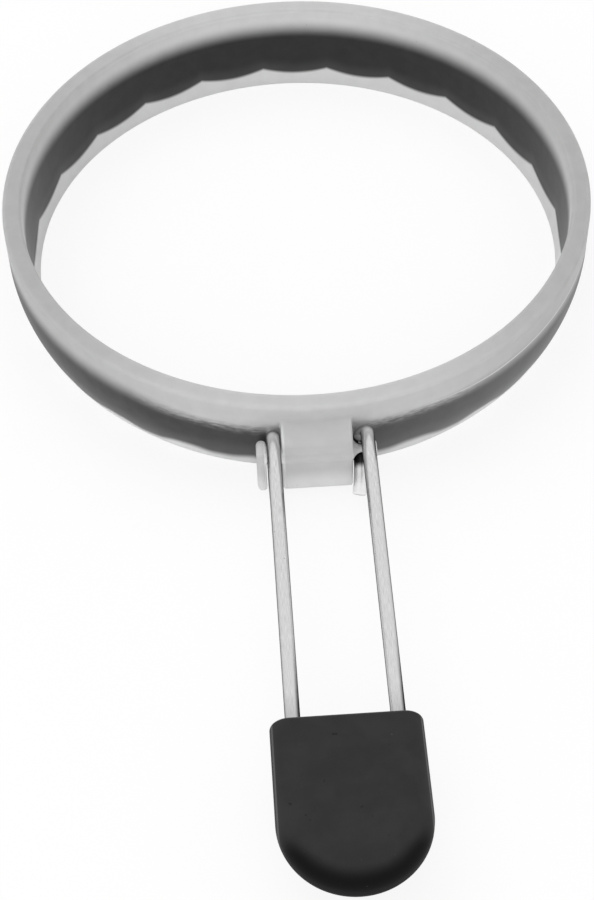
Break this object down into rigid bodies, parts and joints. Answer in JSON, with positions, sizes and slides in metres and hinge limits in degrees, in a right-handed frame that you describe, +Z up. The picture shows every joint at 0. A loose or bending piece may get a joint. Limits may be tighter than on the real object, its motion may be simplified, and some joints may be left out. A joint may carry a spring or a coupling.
{
  "type": "egg ring",
  "caption": "Round silicone egg ring with a wide rim bead, a scalloped stiffener in the wall and a fold-up wire handle with a D-shaped grip.",
  "frame": {"origin": "centre of the bounding box's base, on the surface that the ring stands on", "axes": "+Z up through the ring, -Y from the ring to the grip of the handle, +X to the right as seen from the grip"},
  "size_m": [0.096, 0.1718, 0.0154],
  "materials": {
    "pale_silicone": "satin",
    "dark_nylon": "matte",
    "bright_steel": "polished",
    "black_silicone": "matte"
  },
  "bodies": {
    "ring": {"ring_body": "pale_silicone", "stiffener_band": "dark_nylon", "hinge_pin": "bright_steel"},
    "handle": {"handle_wire": "bright_steel", "grip": "black_silicone"}
  },
  "joints": [
    {"name": "handle_hinge", "type": "hinge", "parent": "ring", "child": "handle", "pos_m": [0, -0.0122, 0.0079], "axis": [-1, 0, 0], "range_deg": [0, 72]}
  ]
}
